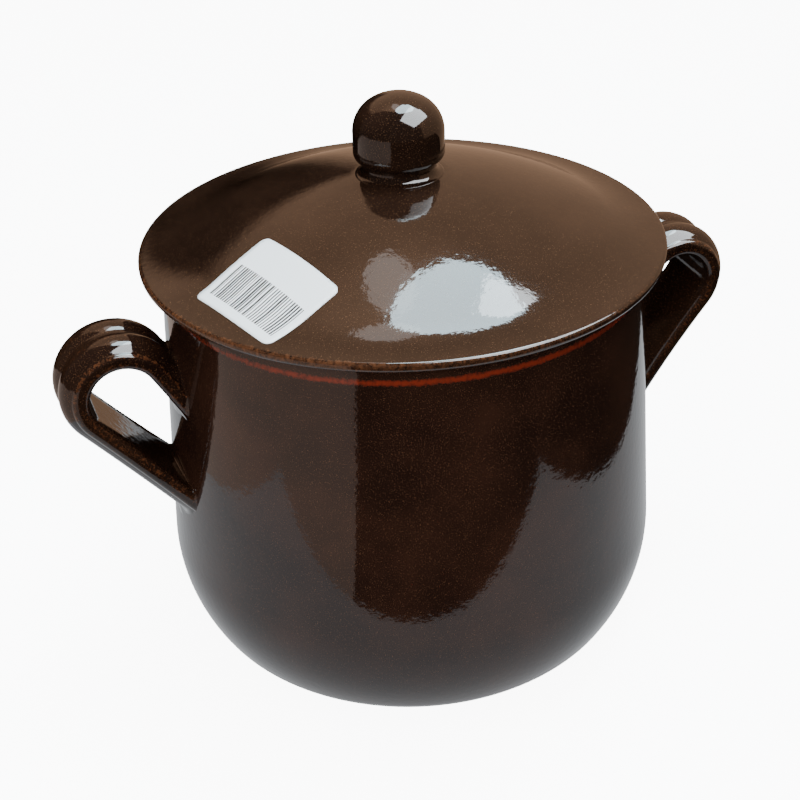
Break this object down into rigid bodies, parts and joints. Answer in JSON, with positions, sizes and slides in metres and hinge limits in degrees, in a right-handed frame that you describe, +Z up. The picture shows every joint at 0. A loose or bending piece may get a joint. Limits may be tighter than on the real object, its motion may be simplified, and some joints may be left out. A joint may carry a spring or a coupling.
{
  "type": "lidded cooking pot",
  "caption": "Round glazed earthenware cooking pot with ribbed strap handles on opposite sides and a domed lift-off lid with a knob.",
  "frame": {"origin": "centre of the flat base, on the surface the pot stands on", "axes": "+Z up along the pot's axis, +X towards one handle, -X towards the other"},
  "size_m": [0.2472, 0.18, 0.2001],
  "materials": {
    "brown_glaze": "dark brown speckled gloss glaze, redder where it is thin",
    "label_paper": "white paper with plain bars"
  },
  "bodies": {
    "pot": {"pot_body": "brown_glaze", "handle_left": "brown_glaze", "handle_right": "brown_glaze"},
    "lid": {"lid_plate": "brown_glaze", "lid_knob": "brown_glaze", "price_label": "label_paper"}
  },
  "joints": [
    {"name": "lid_lift", "type": "slide", "parent": "pot", "child": "lid", "axis": [0, 0, 1], "range_m": [0, 0.2]}
  ]
}
